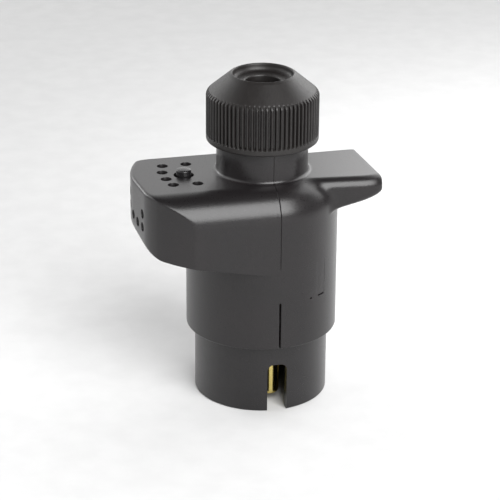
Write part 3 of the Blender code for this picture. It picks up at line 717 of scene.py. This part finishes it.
# %% The contact carrier
carrier_profile = softened(
    [
        (2.8, 29.0, 0.3),
        (20.0, 29.0, 0.3),
        (20.0, 26.0, 0.3),
        (18.8, 26.0, 0.2),
        (18.8, 0.0, 0.5),
        (16.8, 0.0, 0.4),
        (16.8, 14.5, 0.5),
        (2.8, 14.5, 0.3),
    ]
)
carrier = turned("keyed_contact_carrier", carrier_profile, columns=240)
pin_places = [(10.5, math.radians(-90 + 60 * i)) for i in range(6)] + [(0.0, 0.0)]
for radius, turn in pin_places[:6]:
    spot = Matrix.Translation((radius * math.cos(turn), radius * math.sin(turn), 0))
    combine(carrier, moved(hole_tool("pin_bore", 2.8, 13.0, 29.0, 0.2), spot))


def key_slot_tool():
    """A prism through the sleeve's front wall: 5.6 mm wide, with its two upper corners rounded by 1.9 mm."""
    bend = np.radians(np.linspace(0, 90, 9))
    right_w, right_z = 0.9 + 1.9 * np.cos(bend), 12.3 + 1.9 * np.sin(bend)
    outline_w = np.concatenate([[2.8], right_w, -right_w[::-1], [-2.8]])
    outline_z = np.concatenate([[-3.0], right_z, right_z[::-1], [-3.0]])
    grid = np.stack([[np.stack([outline_w, 0 * outline_w + d, outline_z], -1) for d in (-25.0, -14.0)]])[0]
    return grid_piece("key_slot", grid)


combine(carrier, key_slot_tool())
soften(carrier)
in_place(carrier, "root", carrier_nylon, "carrier_plastic", "contact_carrier")

# %% [markdown]
# ## Contacts
#
# Each contact is turned from brass rod: a 5 mm pin with a rounded tip, split across so that its halves
# spring against the socket, and a wider barrel above the carrier where a screw clamps the wire.


# %% Pins and clamping screws
screw_place = Matrix.Translation((0, 0, 34.5)) @ Matrix.Rotation(math.radians(90), 4, "Y")


def contact_form(name):
    """Turned pin with a wire hole in its top, a split up from its tip and a cross hole for the screw."""
    corners = [
        (1.5, 31.0, 0.0),
        (1.5, 38.0, 0.15),
        (3.0, 38.0, 0.3),
        (3.0, 29.3, 0.2),
        (2.5, 29.3, 0.0),
        (2.5, 2.1, 1.2),
        (0.3, 2.1, 0.0),
    ]
    pin = turned(name, softened(corners, 5)[:-1], columns=48, ring=False)
    combine(pin, block("split", (-0.25, -4, -2), (0.25, 4, 12.0)))
    return soften(combine(pin, moved(hole_tool("screw_bore", 1.3, 0.75, 3.0, 0.2), screw_place)))


def screw_form(name):
    """Turned screw lying along +w from the pin's axis, with a slotted, slightly domed head."""
    corners = [
        (0.2, 4.5, 0.0),
        (1.5, 4.45, 0.3),
        (1.8, 4.1, 0.2),
        (1.8, 3.3, 0.1),
        (1.0, 3.3, 0.0),
        (1.0, 1.1, 0.2),
        (0.1, 0.9, 0.0),
    ]
    screw = turned(name, softened(corners), columns=32, ring=False)
    combine(screw, block("driver_slot", (-0.25, -4, 3.9), (0.25, 4, 6.0)))
    return soften(moved(screw, screw_place))


def copy_of(piece, name):
    """A second piece with its own copy of the mesh."""
    made = bpy.data.objects.new(name, piece.data.copy())
    bpy.context.scene.collection.objects.link(made)
    return made


master_pin = contact_form("master_pin")
master_screw = screw_form("master_screw")
for number, (radius, turn) in enumerate(pin_places, 1):
    place = Matrix.Rotation(turn, 4, "Z") @ Matrix.Translation((radius, 0, 0))
    # Every split lies across the line from the axis
    pin = moved(copy_of(master_pin, f"brass_contact_{number}"), place)
    in_place(pin, "root", pin_brass, "brass", f"contact_pin_{number}")
    screw = moved(copy_of(master_screw, f"clamp_screw_{number}"), place)
    in_place(screw, "root", screw_steel, "plated_steel", f"terminal_screw_{number}")
for master in (master_pin, master_screw):
    bpy.data.objects.remove(master)

# %% [markdown]
# ## The test button and the module behind the windows
#
# The button is a small domed cap on a stem. The module's boards, switch and lamps are simple parts with the
# right shape already, so the CAD nodes stay and only get their finishes.

# %% Button
button_profile = softened(
    [
        (0.4, 67.8, 0.0),
        (2.1, 67.65, 0.45),
        (2.1, 63.4, 0.0),
        (3.4, 63.4, 0.2),
        (3.4, 62.4, 0.2),
        (1.2, 62.4, 0.0),
        (1.2, 61.2, 0.15),
        (0.2, 61.2, 0.0),
    ]
)
button = turned("test_button_cap", button_profile, columns=64, ring=False)
soften(moved(button, Matrix.Translation((BUTTON_W, 0, 0))))
in_place(button, "push_button", button_acetal, "button_plastic", "push_button")

# %% Finishes on the CAD nodes that stay
# The lamps get the epoxy whose near-black colour is painted shade for the windows.
module_finishes = {"lamp": lamp_epoxy_painted_shade, "board": board_laminate, "switch": screw_steel}
for name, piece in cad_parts.items():
    for word, skin in module_finishes.items():
        if word in name:
            piece.data.materials.clear()
            piece.data.materials.append(skin)

# %% [markdown]
# ## Studio
#
# A product like this is shown on white. One large soft light above and in front shapes it, a faint one
# behind draws its right edges, three small ones point down to keep the floor white, and a room that is
# bright behind whitens the top faces.


# %% Floor, room and lights
def area_light(name, place, aim, size, power, colour="#ffffff"):
    """A rectangular soft light at place (w, d, z in millimetres), turned to face aim."""
    lamp = bpy.data.lights.new(name, "AREA")
    lamp.shape = "RECTANGLE"
    lamp.size, lamp.size_y = size[0] * MM, size[1] * MM
    lamp.energy = power
    lamp.color = linear(colour)[:3]
    holder = bpy.data.objects.new(name, lamp)
    holder.location = Vector(place) * MM
    holder.rotation_euler = (Vector(aim) - Vector(place)).to_track_quat("-Z", "Y").to_euler()
    holder.visible_camera = False
    bpy.context.scene.collection.objects.link(holder)
    return holder


floor_paper = finish("white_paper_matte", ("#d2d2d2", "#d6d6d6"), 0.5, 0.05, (0.8, 0.9))
floor = block("floor", (-9e3, -9e3, -40.0), (9e3, 9e3, 0.0))
floor.data.materials.append(floor_paper)


def white_room(name, levels):
    """A room lit behind the object and dim in front and overhead: the light from a direction is
    levels[0] + levels[1] * (how far it points to the back) + levels[2] * (how far it points up)."""
    room = bpy.data.worlds.new(name)
    room.use_nodes = True
    tree = room.node_tree
    towards = node(tree, "ShaderNodeTexCoord").outputs["Generated"]
    parts = node(tree, "ShaderNodeSeparateXYZ", {"Vector": towards})
    shares = []
    for axis, low, high, level in (("Y", -0.3, 0.7, levels[1]), ("Z", 0.45, 0.9, levels[2])):
        span = {"From Min": low, "From Max": high, "To Min": 0.0, "To Max": level}
        span["Value"] = parts.outputs[axis]
        share = node(tree, "ShaderNodeMapRange", span, interpolation_type="SMOOTHSTEP")
        shares.append(share.outputs["Result"])
    total = node(tree, "ShaderNodeMath", {0: shares[0], 1: shares[1]}, operation="ADD")
    total = node(tree, "ShaderNodeMath", {0: total.outputs[0], 1: levels[0]}, operation="ADD")
    floor_level = node(tree, "ShaderNodeMath", {0: total.outputs[0], 1: 0.02}, operation="MAXIMUM")
    tree.links.new(floor_level.outputs[0], tree.nodes["Background"].inputs["Strength"])
    tree.nodes["Background"].inputs["Color"].default_value = linear("#ffffff")
    return room


world = white_room("white_room", (0.3, 1.1, -1.2))
bpy.context.scene.world = world
bpy.context.scene.view_settings.view_transform = "Standard"

# %% Lights
# The large one that shapes the plug
area_light("soft_front_top", (200, -850, 720), (0, 0, 40), (800, 1000), 20)
# Straight down on the floor at the right, and a faint one from behind for the right edges
area_light("right_low", (230, 90, 150), (225, 90, 0), (200, 320), 0.5)
area_light("right_back", (420, 760, 330), (0, 0, 60), (360, 360), 0.4)
# Down on the floor at the left, near the plug and far behind it
area_light("left_low", (-260, 0, 170), (-255, 0, 0), (200, 360), 0.25)
area_light("left_back", (-520, 700, 300), (-420, 520, 0), (300, 300), 1.6)

# %% [markdown]
# ## Camera
#
# A long lens from about 0.6 m, a little above the plug and to the left of its key slot, shows the box, the
# nut and the key slot together and keeps their proportions true.

# %% Camera
ELEVATION, TURN, DISTANCE = 22.15, 14.8, 605.6
AIM_Z = 50.0
LEFT_BY, DOWN_BY, ROLL = 0.30, 0.76, 0.39


def aim_camera():
    """Stands TURN degrees to the left of the key slot and looks down by ELEVATION at the point AIM_Z up the
    axis, then turns LEFT_BY and DOWN_BY degrees off it and rolls by ROLL degrees."""
    rise = math.radians(ELEVATION)
    forward = Vector((0, math.cos(rise), -math.sin(rise)))
    right = Vector((1, 0, 0))
    up = right.cross(forward)
    aside = math.tan(math.radians(-LEFT_BY)) * right + math.tan(math.radians(-DOWN_BY)) * up
    look = (forward + aside).normalized()
    level = look.cross(Vector((0, 0, 1))).normalized()
    over = level.cross(look)
    roll = math.radians(ROLL)
    across = math.cos(roll) * level + math.sin(roll) * over
    upward = -math.sin(roll) * level + math.cos(roll) * over
    frame_axes = Matrix((across, upward, -look)).transposed()
    turned_by = Matrix.Rotation(math.radians(-TURN), 3, "Z")
    place = turned_by @ (Vector((0, 0, AIM_Z)) - DISTANCE * forward)
    matrix = (turned_by @ frame_axes).to_4x4()
    matrix.translation = place * MM + Vector((AXIS_X, 0, 0))
    return matrix


camera_data = bpy.data.cameras.new("camera")
camera_data.lens = 155.3
camera_data.sensor_width = 36.0
camera = bpy.data.objects.new("camera", camera_data)
camera.matrix_world = aim_camera()
bpy.context.scene.collection.objects.link(camera)
bpy.context.scene.camera = camera
